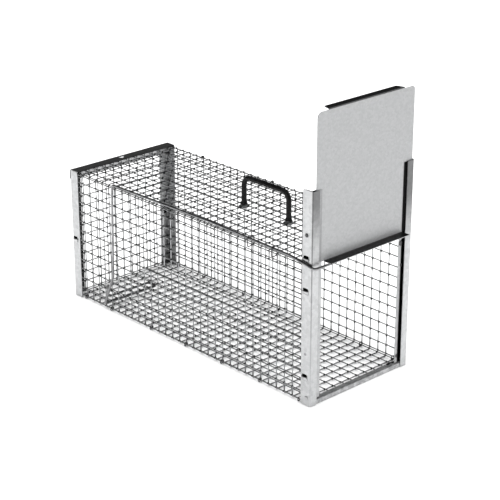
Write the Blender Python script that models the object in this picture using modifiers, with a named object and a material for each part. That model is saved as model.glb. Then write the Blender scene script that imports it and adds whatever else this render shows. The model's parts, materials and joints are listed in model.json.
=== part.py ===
"""Wire-mesh live-catch cage with a drop door, built as separate galvanised steel pieces.

Metres, +Z up. X is the cage's width, Y its length with the door at -Y, Z its height from the floor.
The door is shown raised, held up by the hook of the trigger rod that runs along the top left edge.
"""

import math

import bmesh
import bpy
from mathutils import Matrix, Quaternion, Vector

# Driving dimensions
WIDTH = 0.235  # over the corner posts
LENGTH = 0.631
HEIGHT = 0.251  # top of the mesh box
POST_TOP = 0.374  # the front posts run on above the mesh box to guide the door
SHEET = 0.0012  # folded sheet of posts, guides, sill and top bar
FLANGE = 0.022
FRONT_FLANGE = 0.0155  # the front posts' narrower flange, across the doorway
GUIDE_FLANGE = 0.0246
GUIDE_DEPTH = 0.0137
SLOT_LENGTH = 0.011
SLOT_WIDTH = 0.0034
FRONT_SLOT_Y = 0.0135  # from the cage's corner to the middle of each slot
FRONT_SLOT_HEIGHTS = (0.054, 0.206, 0.262)
BACK_SLOT_Y = 0.009
BACK_SLOT_Z = 0.119
BACK_HOLE_X = 0.1055
BACK_HOLE_Z = 0.1125
BACK_HOLE_RADIUS = 0.0055
SILL_HEIGHT = 0.0092
SILL_DEPTH = 0.0095
BAR_DEPTH = 0.0235  # of the bar over the back top edge, forward from its corner
BAR_DROP = 0.019
BAR_HOLE = (-0.002, 0.0065)  # the hanging hole: across from the middle, forward of the posts' backs
BAR_HOLE_RADIUS = 0.0058
MESH_PITCH = 0.01905  # three quarter inch welded mesh
BAR = 0.0024  # grid bars stand in for the wires, at twice the pitch
GAP = 0.0003  # clearance between pieces that touch
PUNCH_REACH = 0.004  # how far a cutter stands out on each side of a sheet's face
DOOR_WIDTH = 0.2225
DOOR_HEIGHT = 0.2515
DOOR_SHEET = 0.001
DOOR_X = 0.0035  # the raised door hangs over to the right in its loose slot
DOOR_CORNER = 0.010
LIP_HALF = 0.0925
LIP_DEPTH = 0.018
TOP_LIP_HALF = 0.087
TOP_LIP_DEPTH = 0.015
LIP_TAPER = 0.0045
ROD_RADIUS = 0.0022
ROD_BEND = 0.0055
HANDLE_RADIUS = 0.0047
HANDLE_BEND = 0.016
HANDLE_X = -0.005  # bolted through the column of mesh squares beside the middle wire
HANDLE_FEET = (-0.1473, -0.0363)
HANDLE_RISE = 0.0517  # from the mesh to the middle of the grip
PLATE = 0.0009  # washers
COLLAR_HEIGHT = 0.0048
NUT_HEIGHT = 0.004
COLLAR_RADII = (0.0062, 0.0056)  # at its foot and its top
WASHER_RADII = (0.0070, 0.0070)
BACKING_RADII = (0.0098, 0.0098)
NUT_RADII = (0.0058, 0.0058)
RIVET_RADIUS = 0.0035
RIVET_HEIGHT = 0.0014
BAR_RIVET_X, BAR_RIVET_DROP = 0.107, 0.0105
GUIDE_RIVET = (0.0125, 0.299)  # back from the cage's corner, and up
FOOT_RIVET = (0.0085, 0.014)
BOTTOM_RINGS = {
    "left": (-0.281, -0.196, -0.0995, 0.002, 0.098, 0.203, 0.287),
    "right": (-0.281, -0.2175, -0.0995, 0.002, 0.098, 0.203, 0.287),
}
TOP_RINGS = (-0.17, 0.02, 0.2)
ROD_CLIPS = (-0.2275, -0.1815)
RING_HALF = (0.0034, 0.0036)
RING_RADIUS = 0.0007
CLIP_HALF = (0.0068, 0.0093)
CLIP_RADIUS = 0.0009
CLIP_DROP = 0.0057  # a clip's middle lies this far below the rod that it carries

# Places worked out from them
HALF_W = WIDTH / 2
HALF_L = LENGTH / 2
INNER_W = HALF_W - SHEET  # inner face of a post's side flange
FRONT_INNER = -HALF_L + SHEET  # inner face of a post's front flange
FLOOR_Z = 0.003  # middle of the floor grid
TOP_Z = HEIGHT - 0.0025  # middle of the top grid
BACK_BAR = HALF_L - SHEET - GAP - BAR / 2  # middle of the back grid
SIDE_LOW = FLOOR_Z + BAR / 2 + GAP
SIDE_HIGH = TOP_Z - BAR / 2 - GAP
DOOR_Y = -HALF_L + 0.00275  # middle of the door's sheet
GUIDE_Y = -HALF_L + 0.0049  # middle of the inner guide flange
ROD_X = -HALF_W - ROD_RADIUS - 0.0006
HOOK_Z = HEIGHT - 0.0035  # the rod's middle at the hook, a little lower than at its leg
ROD_BACK_Z = HEIGHT + 0.004
ROD_CREST = (-0.08, HEIGHT + 0.0083)  # the rod bows up a little
ROD_NECK = (-0.27, HEIGHT + 0.0045)  # from here forward it runs down to its hook
HOOK_Y = -HALF_L - 0.0085
HOOK_END_X = -0.070
LEG_Y = 0.187
LEG_LOW = (LEG_Y + 0.006, 0.075)  # where the leg turns back toward the treadle
DOOR_LOW = HOOK_Z + ROD_RADIUS + GAP  # the raised door's lip sits on the hook
TREADLE_Y = 0.2205
TREADLE_Z = 0.012
TREADLE_DEPTH = 0.022
TREADLE_RIGHT = 0.003
TREADLE_LEFT = -0.095
TREADLE_TIP = 0.036  # its loose end stands up
STRAIGHT = math.radians(85)  # half of the angle between a path's two legs
FRAME_SHIFT = (0.0027, 0.0054, 0)  # the rod and the lip reach past the posts on two sides

STEEL_LIGHT = ((0.72, 0.73, 0.74), 0.38, 1.0)
STEEL_DOOR = ((0.60, 0.61, 0.61), 0.42, 1.0)
STEEL_WIRE = ((0.45, 0.46, 0.47), 0.40, 1.0)
STEEL_ROD = ((0.38, 0.38, 0.39), 0.35, 1.0)
STEEL_SMALL = ((0.55, 0.56, 0.57), 0.35, 1.0)
BLACK = ((0.012, 0.012, 0.013), 0.25, 0.0)


def clear_scene():
    for obj in list(bpy.data.objects):
        bpy.data.objects.remove(obj, do_unlink=True)


def new_collection(name):
    collection = bpy.data.collections.new(name)
    bpy.context.scene.collection.children.link(collection)
    return collection


def give_material(obj, look):
    """Give the piece its own Principled material."""
    colour, roughness, metallic = look
    material = bpy.data.materials.new(obj.name)
    material.use_nodes = True
    shader = material.node_tree.nodes["Principled BSDF"]
    shader.inputs["Base Color"].default_value = (*colour, 1.0)
    shader.inputs["Roughness"].default_value = roughness
    shader.inputs["Metallic"].default_value = metallic
    obj.data.materials.clear()
    obj.data.materials.append(material)
    return obj


def to_mesh(obj):
    """Replace a curve with its welded mesh, so that it can be cut or joined."""
    evaluated = obj.evaluated_get(bpy.context.evaluated_depsgraph_get())
    mesh = bpy.data.meshes.new_from_object(evaluated)
    work = bmesh.new()
    work.from_mesh(mesh)
    bmesh.ops.remove_doubles(work, verts=work.verts, dist=0.00001)
    bmesh.ops.recalc_face_normals(work, faces=work.faces)
    work.to_mesh(mesh)
    work.free()
    name = obj.name
    solid = bpy.data.objects.new(name + "_solid", mesh)
    solid.matrix_world = obj.matrix_world.copy()
    collection = obj.users_collection[0]
    bpy.data.objects.remove(obj, do_unlink=True)
    collection.objects.link(solid)
    solid.name = name
    bpy.context.view_layer.update()
    return solid


def outline(name, loops, thickness, collection, matrix=None):
    """A flat outline, with any holes, thickened evenly about its own XY plane."""
    curve = bpy.data.curves.new(name, "CURVE")
    curve.dimensions = "2D"
    curve.fill_mode = "BOTH"
    curve.extrude = thickness / 2
    for loop in loops:
        spline = curve.splines.new("POLY")
        spline.points.add(len(loop) - 1)
        for point, (u, v) in zip(spline.points, loop):
            point.co = (u, v, 0, 1)
        spline.use_cyclic_u = True
    obj = bpy.data.objects.new(name, curve)
    collection.objects.link(obj)
    obj.matrix_world = matrix or Matrix.Identity(4)
    bpy.context.view_layer.update()
    return obj


def rectangle(u0, v0, u1, v1):
    return [(u0, v0), (u1, v0), (u1, v1), (u0, v1)]


def plane_at(point, u_axis, v_axis):
    """A matrix whose XY plane lies along two world directions, through a point."""
    u, v = Vector(u_axis), Vector(v_axis)
    matrix = Matrix((u, v, u.cross(v))).transposed().to_4x4()
    matrix.translation = Vector(point)
    return matrix


def grid(name, u_bars, v_bars, matrix, collection):
    """A flat grid of square bars centred on the given lines."""
    u_lines = [bar + side for bar in u_bars for side in (-BAR / 2, BAR / 2)]
    v_lines = [bar + side for bar in v_bars for side in (-BAR / 2, BAR / 2)]
    across, along = len(u_lines) - 1, len(v_lines) - 1
    work = bmesh.new()
    bmesh.ops.create_grid(work, x_segments=across, y_segments=along, size=1)
    place = {v: (round((v.co.x + 1) / 2 * across), round((v.co.y + 1) / 2 * along)) for v in work.verts}
    # An opening lies between the far line of one bar and the near line of the next, both ways.
    openings = [
        face for face in work.faces
        if min(place[v][0] for v in face.verts) % 2 and min(place[v][1] for v in face.verts) % 2
    ]
    for vert, (i, j) in place.items():
        vert.co = (u_lines[i], v_lines[j], 0)
    bmesh.ops.delete(work, geom=openings, context="FACES")
    mesh = bpy.data.meshes.new(name)
    work.to_mesh(mesh)
    work.free()
    obj = bpy.data.objects.new(name, mesh)
    collection.objects.link(obj)
    obj.matrix_world = matrix
    shell = obj.modifiers.new("Solidify", "SOLIDIFY")
    shell.thickness = BAR
    shell.offset = 0
    return give_material(obj, STEEL_WIRE)


def arc(centre, start, end, steps=5):
    """Points on a circular arc from start to end about centre."""
    centre = Vector(centre)
    spoke = Vector(start) - centre
    turn = spoke.rotation_difference(Vector(end) - centre)
    return [centre + Quaternion(turn.axis, turn.angle * i / steps) @ spoke for i in range(steps + 1)]


def rounded_path(corners, radius, steps=5):
    """A path through the corners, each turned on the given radius unless it hardly turns at all."""
    points = [Vector(corners[0])]
    for before, corner, after in zip(corners, corners[1:], corners[2:]):
        corner = Vector(corner)
        into = (Vector(before) - corner).normalized()
        out = (Vector(after) - corner).normalized()
        half_angle = into.angle(out) / 2
        if half_angle > STRAIGHT:
            points.append(corner)
            continue
        reach = radius / math.tan(half_angle)
        centre = corner + (into + out).normalized() * radius / math.sin(half_angle)
        points += arc(centre, corner + into * reach, corner + out * reach, steps)
    points.append(Vector(corners[-1]))
    return points


def wire(name, points, radius, look, collection, resolution=2, cyclic=False):
    """A round wire along a path, with filled ends."""
    curve = bpy.data.curves.new(name, "CURVE")
    curve.dimensions = "3D"
    curve.bevel_depth = radius
    curve.bevel_resolution = resolution
    curve.use_fill_caps = not cyclic
    spline = curve.splines.new("POLY")
    spline.points.add(len(points) - 1)
    for point, place in zip(spline.points, points):
        point.co = (*place, 1)
    spline.use_cyclic_u = cyclic
    spline.use_smooth = True
    obj = bpy.data.objects.new(name, curve)
    collection.objects.link(obj)
    return give_material(obj, look)


def cutter_box(name, low, high, cutters):
    bpy.ops.mesh.primitive_cube_add(size=1, location=(Vector(low) + Vector(high)) / 2)
    return as_cutter(name, Vector(high) - Vector(low), cutters)


def cutter_cylinder(name, centre, axis, radius, cutters):
    depth = 2 * PUNCH_REACH
    bpy.ops.mesh.primitive_cylinder_add(vertices=20, radius=radius, depth=depth, location=centre)
    bpy.context.object.rotation_euler = Vector(axis).to_track_quat("Z", "Y").to_euler()
    return as_cutter(name, Vector((1, 1, 1)), cutters)


def as_cutter(name, scale, cutters):
    obj = bpy.context.object
    obj.scale = scale
    bpy.ops.object.transform_apply(location=False, rotation=False, scale=True)
    obj.name = name
    for collection in list(obj.users_collection):
        collection.objects.unlink(obj)
    cutters.objects.link(obj)
    obj.hide_render = True
    obj.display_type = "WIRE"
    return obj


def combine(obj, other, operation):
    modifier = obj.modifiers.new(operation.title(), "BOOLEAN")
    modifier.operation = operation
    modifier.object = other


def angle_section(u_sign, v_sign, u_flange, v_flange):
    """An L section with its outer corner at the origin, its flanges toward the given signs."""
    section = [
        (0, 0), (u_flange, 0), (u_flange, SHEET), (SHEET, SHEET), (SHEET, v_flange), (0, v_flange),
    ]
    return [(u * u_sign, v * v_sign) for u, v in section]


def angle_post(name, x_sign, y_sign, low, high, collection):
    """An upright angle whose outer corner is a corner of the cage."""
    section = angle_section(-x_sign, -y_sign, FRONT_FLANGE if y_sign < 0 else FLANGE, FLANGE)
    corner = Matrix.Translation((x_sign * HALF_W, y_sign * HALF_L, (low + high) / 2))
    return to_mesh(outline(name, [section], high - low, collection, corner))


def build_mesh_panels(part):
    """Floor, top, two sides and back, each one closed flat grid."""
    edge_x = INNER_W - 2 * SHEET - GAP - BAR / 2
    bars_x = [-edge_x] + [MESH_PITCH * k for k in (-5, -3, -1, 1, 3, 5)] + [edge_x]
    bars_y = [BACK_BAR - 2 * MESH_PITCH * k for k in range(15, -1, -1)]
    front_bar = GUIDE_Y + SHEET / 2 + GAP + BAR / 2
    side_front = -HALF_L + FLANGE
    side_x = INNER_W - GAP - BAR / 2
    low, high = SIDE_LOW + BAR / 2, SIDE_HIGH - BAR / 2
    bars_z = [low] + [FLOOR_Z + 2 * MESH_PITCH * k for k in range(1, 7)] + [high]
    flat = (1, 0, 0), (0, 1, 0)
    grid("floor_mesh", bars_x, [front_bar] + bars_y, plane_at((0, 0, FLOOR_Z), *flat), part)
    grid("top_mesh", bars_x, [front_bar] + bars_y, plane_at((0, 0, TOP_Z), *flat), part)
    for side, sign in (("left", -1), ("right", 1)):
        wall = plane_at((sign * side_x, 0, 0), (0, 1, 0), (0, 0, 1))
        grid(f"{side}_side_mesh", [side_front] + bars_y, bars_z, wall, part)
    edge_back = side_x - BAR - GAP
    back_x = [-edge_back] + bars_x[1:-1] + [edge_back]
    grid("back_mesh", back_x, bars_z, plane_at((0, BACK_BAR, 0), (1, 0, 0), (0, 0, 1)), part)


def build_posts(part, cutters):
    """Four corner angles with the punched slots and holes of the sheet metal."""
    reach = Vector((PUNCH_REACH, SLOT_LENGTH / 2, SLOT_WIDTH / 2))
    for side, sign in (("left", -1), ("right", 1)):
        post = angle_post(f"front_{side}_post", sign, -1, 0, POST_TOP, part)
        for number, z in enumerate(FRONT_SLOT_HEIGHTS, 1):
            centre = Vector((sign * HALF_W, -HALF_L + FRONT_SLOT_Y, z))
            slot = cutter_box(f"front_{side}_slot_{number}", centre - reach, centre + reach, cutters)
            combine(post, slot, "DIFFERENCE")
        give_material(post, STEEL_LIGHT)
    for side, sign in (("left", -1), ("right", 1)):
        post = angle_post(f"back_{side}_post", sign, 1, 0, HEIGHT - SHEET - GAP, part)
        centre = Vector((sign * HALF_W, HALF_L - BACK_SLOT_Y, BACK_SLOT_Z))
        slot = cutter_box(f"back_{side}_slot", centre - reach, centre + reach, cutters)
        combine(post, slot, "DIFFERENCE")
        place = (sign * BACK_HOLE_X, HALF_L, BACK_HOLE_Z)
        hole = cutter_cylinder(f"back_{side}_hole", place, (0, 1, 0), BACK_HOLE_RADIUS, cutters)
        combine(post, hole, "DIFFERENCE")
        give_material(post, STEEL_LIGHT)


def build_door_guides(part):
    """Inner angles that make a slot with each front post's front flange."""
    low, high = SILL_HEIGHT + GAP, POST_TOP
    for side, sign in (("left", -1), ("right", 1)):
        section = angle_section(-sign, 1, GUIDE_FLANGE, GUIDE_DEPTH)
        corner = (sign * (INNER_W - GAP), GUIDE_Y - SHEET / 2, (low + high) / 2)
        guide = outline(f"{side}_door_guide", [section], high - low, part, Matrix.Translation(corner))
        give_material(guide, STEEL_LIGHT)


def build_sill(part):
    """An angle across the doorway: a low front face with its flange turned inward on top."""
    section = [(v, -u) for u, v in angle_section(1, 1, SILL_HEIGHT, SILL_DEPTH)]
    corner = plane_at((0, FRONT_INNER + GAP, SILL_HEIGHT), (0, 1, 0), (0, 0, 1))
    sill = outline("front_sill", [section], 2 * (INNER_W - GAP), part, corner)
    give_material(sill, STEEL_LIGHT)


def build_top_bar(part, cutters):
    """An angle over the back top edge, with a hanging hole in its flat flange."""
    section = [(-u, -v) for u, v in angle_section(1, 1, BAR_DEPTH, BAR_DROP)]
    corner = plane_at((0, HALF_L + SHEET + GAP, HEIGHT), (0, 1, 0), (0, 0, 1))
    bar = to_mesh(outline("back_top_bar", [section], WIDTH, part, corner))
    place = (BAR_HOLE[0], HALF_L - BAR_HOLE[1], HEIGHT)
    hole = cutter_cylinder("top_bar_hole", place, (0, 0, 1), BAR_HOLE_RADIUS, cutters)
    combine(bar, hole, "DIFFERENCE")
    give_material(bar, STEEL_LIGHT)


def build_door(part, cutters):
    """A flat sheet with its top edge folded backward and its bottom edge folded forward."""
    half = DOOR_WIDTH / 2
    high = DOOR_LOW + DOOR_HEIGHT
    inner, below = half - DOOR_CORNER, high - DOOR_CORNER
    turn = [(p.x, p.y) for p in arc((inner, below, 0), (half, below, 0), (inner, high, 0))]
    edge = [(half, DOOR_LOW)] + turn
    loop = edge + [(-u, v) for u, v in reversed(edge)]
    upright = plane_at((DOOR_X, DOOR_Y, 0), (1, 0, 0), (0, 0, 1))
    door = to_mesh(outline("door_panel", [loop], DOOR_SHEET, part, upright))
    tip = TOP_LIP_HALF - LIP_TAPER
    top = [(-TOP_LIP_HALF, 0), (TOP_LIP_HALF, 0), (tip, TOP_LIP_DEPTH), (-tip, TOP_LIP_DEPTH)]
    bottom = rectangle(-LIP_HALF, -LIP_DEPTH, LIP_HALF, 0)
    lips = (("door_top_lip", top, high - DOOR_SHEET), ("door_bottom_lip", bottom, DOOR_LOW))
    for name, lip, z in lips:
        place = Matrix.Translation((DOOR_X, DOOR_Y, z + DOOR_SHEET / 2))
        fold = to_mesh(outline(name, [lip], DOOR_SHEET, cutters, place))
        fold.hide_render = True
        fold.display_type = "WIRE"
        combine(door, fold, "UNION")
    give_material(door, STEEL_DOOR)


def build_trigger(part):
    """The hook under the door, the rod along the top edge and the treadle loop on the floor."""
    back_y = TREADLE_Y + TREADLE_DEPTH
    corners = [
        (HOOK_END_X, HOOK_Y, HOOK_Z),
        (ROD_X, HOOK_Y, HOOK_Z),
        (ROD_X, *ROD_NECK),
        (ROD_X, *ROD_CREST),
        (ROD_X, LEG_Y, ROD_BACK_Z),
        (ROD_X, *LEG_LOW),
        (ROD_X, TREADLE_Y, TREADLE_Z),
        (TREADLE_RIGHT, TREADLE_Y, TREADLE_Z),
        (TREADLE_RIGHT, back_y, TREADLE_Z),
        (TREADLE_LEFT, back_y, TREADLE_Z),
        (TREADLE_LEFT, back_y, TREADLE_TIP),
    ]
    wire("trigger_rod", rounded_path(corners, ROD_BEND), ROD_RADIUS, STEEL_ROD, part)


def mid_cell(y):
    """The middle of the real mesh cell that holds y."""
    return BACK_BAR - MESH_PITCH * (math.floor((BACK_BAR - y) / MESH_PITCH) + 0.5)


def ring(name, centre, half_x, half_z, part, radius=RING_RADIUS):
    """A wire ring with rounded corners, closed around the edges that it holds together."""
    x, y, z = centre
    turn = min(half_x, half_z) * 0.4
    points = []
    for sx, sz, first in ((1, 1, 0), (-1, 1, 1), (-1, -1, 2), (1, -1, 3)):
        for step in range(4):
            angle = (first + step / 3) * math.pi / 2
            along = sx * (half_x - turn) + turn * math.cos(angle)
            up = sz * (half_z - turn) + turn * math.sin(angle)
            points.append((x + along, y, z + up))
    wire(name, points, radius, STEEL_SMALL, part, resolution=1, cyclic=True)


def build_rings(part):
    """Rings along the bottom and top edges, and the two clips that carry the trigger rod."""
    edge_x = INNER_W - GAP - BAR
    for side, sign in (("left", -1), ("right", 1)):
        for number, y in enumerate(BOTTOM_RINGS[side], 1):
            centre = (sign * edge_x, mid_cell(y), FLOOR_Z + BAR / 2 + GAP / 2)
            ring(f"{side}_bottom_ring_{number}", centre, *RING_HALF, part)
    for number, y in enumerate(TOP_RINGS, 1):
        centre = (edge_x, mid_cell(y), TOP_Z - BAR / 2 - GAP / 2)
        ring(f"right_top_ring_{number}", centre, *RING_HALF, part)
    slope = (ROD_CREST[1] - ROD_NECK[1]) / (ROD_CREST[0] - ROD_NECK[0])
    for number, y in enumerate(ROD_CLIPS, 1):
        rod_z = ROD_NECK[1] + slope * (mid_cell(y) - ROD_NECK[0])
        centre = ((ROD_X - edge_x) / 2, mid_cell(y), rod_z - CLIP_DROP)
        ring(f"rod_clip_{number}", centre, *CLIP_HALF, part, CLIP_RADIUS)


def disc(name, centre, radii, height, look, part, sides=24):
    """A disc or a cone standing on its lower face at the given place."""
    bpy.ops.mesh.primitive_cone_add(
        vertices=sides, radius1=radii[0], radius2=radii[1], depth=height,
        location=Vector(centre) + Vector((0, 0, height / 2)),
    )
    obj = bpy.context.object
    obj.name = name
    for collection in list(obj.users_collection):
        collection.objects.unlink(obj)
    part.objects.link(obj)
    obj.data.shade_smooth()
    obj.data.set_sharp_from_angle(angle=math.radians(40))
    return give_material(obj, look)


def build_handle(part):
    """A bent bar on two collars, bolted through the top mesh between washers."""
    x = HANDLE_X
    mesh_top, mesh_bottom = TOP_Z + BAR / 2, TOP_Z - BAR / 2
    washer_low = mesh_top + GAP
    foot_low = washer_low + PLATE + GAP
    bar_low = foot_low + COLLAR_HEIGHT + GAP
    backing_low = mesh_bottom - GAP - PLATE
    nut_low = backing_low - GAP - NUT_HEIGHT
    grip_z = mesh_top + HANDLE_RISE
    front, back = HANDLE_FEET
    corners = [(x, front, bar_low), (x, front, grip_z), (x, back, grip_z), (x, back, bar_low)]
    wire("handle_bar", rounded_path(corners, HANDLE_BEND, 7), HANDLE_RADIUS, BLACK, part, resolution=4)
    for end, y in (("front", front), ("back", back)):
        disc(f"handle_foot_{end}", (x, y, foot_low), COLLAR_RADII, COLLAR_HEIGHT, BLACK, part)
        disc(f"handle_washer_{end}", (x, y, washer_low), WASHER_RADII, PLATE, STEEL_SMALL, part)
        disc(f"handle_backing_{end}", (x, y, backing_low), BACKING_RADII, PLATE, STEEL_SMALL, part)
        disc(f"handle_nut_{end}", (x, y, nut_low), NUT_RADII, NUT_HEIGHT, STEEL_SMALL, part, sides=6)


def rivet(name, centre, outward, part):
    """A low rivet head on a sheet's outer face."""
    bpy.ops.mesh.primitive_cone_add(
        vertices=16, radius1=RIVET_RADIUS, radius2=RIVET_RADIUS / 2, depth=RIVET_HEIGHT,
    )
    obj = bpy.context.object
    obj.name = name
    direction = Vector(outward)
    obj.rotation_euler = direction.to_track_quat("Z", "Y").to_euler()
    obj.location = Vector(centre) + direction * (RIVET_HEIGHT / 2 + GAP)
    for collection in list(obj.users_collection):
        collection.objects.unlink(obj)
    part.objects.link(obj)
    give_material(obj, STEEL_SMALL)


def build_rivets(part):
    """Heads that fix the top bar to the back posts and the guides to the front posts."""
    bar_back = HALF_L + SHEET + GAP
    for side, sign in (("left", -1), ("right", 1)):
        bar_place = (sign * BAR_RIVET_X, bar_back, HEIGHT - BAR_RIVET_DROP)
        rivet(f"top_bar_rivet_{side}", bar_place, (0, 1, 0), part)
        for kind, (back, up) in (("guide", GUIDE_RIVET), ("foot", FOOT_RIVET)):
            rivet(f"{kind}_rivet_{side}", (sign * HALF_W, -HALF_L + back, up), (sign, 0, 0), part)


def centre_on_origin(collections):
    """Shift every piece so that the origin is the middle of the whole object's footprint."""
    bpy.context.view_layer.update()
    shift = Matrix.Translation(FRAME_SHIFT)
    for collection in collections:
        for obj in collection.objects:
            obj.matrix_world = shift @ obj.matrix_world


def main():
    clear_scene()
    part = new_collection("live_catch_cage")
    cutters = new_collection("cutters")
    build_mesh_panels(part)
    build_posts(part, cutters)
    build_door_guides(part)
    build_sill(part)
    build_top_bar(part, cutters)
    build_door(part, cutters)
    build_trigger(part)
    build_rings(part)
    build_handle(part)
    build_rivets(part)
    centre_on_origin((part, cutters))


main()
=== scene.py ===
"""Looks of a live-catch cage: welded round wire, folded galvanised sheet, hog rings, rod and handle.

Everything is in metres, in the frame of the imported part. Sheet metal is cut flat and then folded, as the
real pieces are, and takes its places and sizes from the CAD nodes that it stands for.
"""

import json
import math
import random

import bmesh
import bpy
from mathutils import Matrix, Vector

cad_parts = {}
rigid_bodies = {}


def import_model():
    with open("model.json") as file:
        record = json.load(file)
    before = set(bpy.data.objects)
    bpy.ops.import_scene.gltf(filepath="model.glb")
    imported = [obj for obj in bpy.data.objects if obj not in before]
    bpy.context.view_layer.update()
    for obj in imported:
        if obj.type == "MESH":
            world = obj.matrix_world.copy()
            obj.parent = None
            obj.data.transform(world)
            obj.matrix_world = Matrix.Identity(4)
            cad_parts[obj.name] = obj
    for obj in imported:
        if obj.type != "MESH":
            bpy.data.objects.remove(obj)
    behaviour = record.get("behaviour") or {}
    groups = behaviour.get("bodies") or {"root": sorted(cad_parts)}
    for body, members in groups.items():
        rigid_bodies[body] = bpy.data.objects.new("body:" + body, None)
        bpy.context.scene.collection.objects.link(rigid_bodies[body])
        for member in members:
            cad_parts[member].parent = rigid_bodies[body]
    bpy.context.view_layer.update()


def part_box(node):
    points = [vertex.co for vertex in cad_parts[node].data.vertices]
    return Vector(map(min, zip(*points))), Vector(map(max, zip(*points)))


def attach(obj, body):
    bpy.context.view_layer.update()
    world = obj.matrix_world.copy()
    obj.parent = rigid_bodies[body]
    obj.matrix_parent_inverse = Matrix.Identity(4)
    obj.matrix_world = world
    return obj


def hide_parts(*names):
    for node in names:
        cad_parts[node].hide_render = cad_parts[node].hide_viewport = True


for leftover in list(bpy.data.objects):
    bpy.data.objects.remove(leftover)
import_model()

# Places read from the frame
POST_LOW, POST_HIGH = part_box("front_left_post")
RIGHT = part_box("front_right_post")[1].x
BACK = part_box("back_left_post")[1].y
FRONT, LEFT, POST_TOP = POST_LOW.y, POST_LOW.x, POST_HIGH.z
CENTRE = Vector(((LEFT + RIGHT) / 2, (FRONT + BACK) / 2, 0))
HALF_W = (RIGHT - LEFT) / 2
HALF_L = (BACK - FRONT) / 2
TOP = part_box("back_top_bar")[1].z

# Sheet and wire
MESH_PITCH = 0.01905
WIRE_RADIUS = 0.00102
SHEET = 0.0012
DOOR_SHEET = 0.001
FLANGE = 0.022
FRONT_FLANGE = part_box("front_left_post")[1].x - POST_LOW.x
BEND_RADIUS = 0.0016
BEND_STEPS = 6
SLOT_SHADE = 0.0976  # the door's slots are dark further out than this from the middle
MESH_PHASE = -0.0042  # the side and floor columns count from here, about the cage's middle
STUB = 0.0011  # how far a wire runs on past the last wire that it crosses

# Punched slots and holes
SLOT_SIZE = (0.0118, 0.0044)
SLOT_HOOD = (0.0124, 0.0062, 0.0024)  # length, drop and depth of the lip pressed out below a slot
# The SLOT_PLATE plate is painted shadow that fills a slot's upper half.
SLOT_PLATE = (0.0064, 0.0056, 0.0004)  # half length, rise and thickness of what closes a slot from behind
FRONT_SLOT_Y = 0.0135  # from the cage's corner to the middle of a slot
FRONT_SLOT_HEIGHTS = (0.054, 0.206, 0.262)
BACK_SLOT_Y, BACK_SLOT_Z = 0.009, 0.119
BACK_HOLE_X, BACK_HOLE_Z = 0.012, 0.1125  # in from the cage's side, and up
BACK_HOLE_RADIUS = 0.0055
BAR_HOLE_X, BAR_HOLE_Y = -0.002, 0.0065  # across from the middle, and in from the cage's back
BAR_HOLE_RADIUS = 0.0058

# Door, rod and handle
DOOR_Y = 0.00275  # from the posts' front faces to the middle of the door's sheet
LIP_HALF = 0.0925
TOP_LIP_HALF, TOP_LIP_TIP = 0.087, 0.0825  # half widths at its fold and at its edge
LIP_NOTCH = 0.0016
DOOR_CORNERS = (0.010, 0.006)  # the rounding at the top left and the top right
ROD_RADIUS = 0.0022
ROD_BEND = 0.0055
ROD_BOW = 0.04
HOOK_X = -0.070  # the hook's tip
ROD_NECK = (-0.27, 0.0045)  # along the cage, and above its top
ROD_CREST = (-0.08, 0.0083)
ROD_BACK = (0.187, 0.004)
LEG_LOW = (0.193, 0.075)  # along the cage, and up from the floor
TREADLE_Y, TREADLE_LEFT, TREADLE_TIP = 0.2205, -0.095, 0.036
HANDLE_BEND = 0.016
RING_WIRE, RING_LAP, CLIP_LAP = 0.0009, 0.0024, 0.0030
SPOT_WELD_Y, SPOT_WELD_Z = 0.0125, 0.092  # in from the cage's front, and up

# Camera, placed about the middle of the corner posts
CAMERA_PLACE = (-1.7638, -1.9413, 1.2153)
CAMERA_AZIMUTH, CAMERA_ELEVATION = -42.94, 22.07
CAMERA_LENS = 114.49

QUARTER = math.pi / 2
FACING = 0.985  # the cosine above which a face counts as looking in a direction
X, Y, Z = Vector((1, 0, 0)), Vector((0, 1, 0)), Vector((0, 0, 1))


def at(x, y, z):
    """A place given about the middle of the cage's corner posts."""
    return CENTRE + Vector((x, y, z))


# ---------------------------------------------------------------- materials


class Nodes:
    """A small helper that adds and links shader nodes."""

    def __init__(self, name):
        self.material = bpy.data.materials.new(name)
        self.material.use_nodes = True
        self.tree = self.material.node_tree
        self.shader = self.tree.nodes["Principled BSDF"]

    def add(self, kind, **values):
        node = self.tree.nodes.new(kind)
        for key, value in values.items():
            if key in node.inputs:
                node.inputs[key].default_value = value
            else:
                setattr(node, key, value)
        return node

    def link(self, source, target):
        self.tree.links.new(source, target)

    def place(self):
        return self.add("ShaderNodeTexCoord").outputs["Object"]

    def noise(self, place, scale, detail=3.0, roughness=0.5):
        node = self.add("ShaderNodeTexNoise", Scale=scale, Detail=detail, Roughness=roughness)
        self.link(place, node.inputs["Vector"])
        return node

    def cells(self, place, scale, feature="F1"):
        node = self.add("ShaderNodeTexVoronoi", Scale=scale, feature=feature)
        self.link(place, node.inputs["Vector"])
        return node

    def span(self, value, low, high, start=0.0, end=1.0):
        node = self.add("ShaderNodeMapRange")
        for socket, number in zip(node.inputs[1:5], (start, end, low, high)):
            socket.default_value = number
        self.link(value, node.inputs[0])
        return node.outputs[0]

    def math(self, operation, first, second):
        node = self.add("ShaderNodeMath", operation=operation)
        for socket, value in zip(node.inputs, (first, second)):
            if isinstance(value, (int, float)):
                socket.default_value = value
            else:
                self.link(value, socket)
        return node.outputs[0]

    def mix(self, factor, first, second):
        node = self.add("ShaderNodeMix", data_type="RGBA")
        for socket, value in zip((node.inputs[0], node.inputs[6], node.inputs[7]), (factor, first, second)):
            if isinstance(value, tuple):
                socket.default_value = (*value, 1.0)
            elif isinstance(value, (int, float)):
                socket.default_value = value
            else:
                self.link(value, socket)
        return node.outputs[2]

    def bump(self, height, strength, distance):
        node = self.add("ShaderNodeBump", Strength=strength, Distance=distance)
        self.link(height, node.inputs["Height"])
        self.link(node.outputs[0], self.shader.inputs["Normal"])


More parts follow.
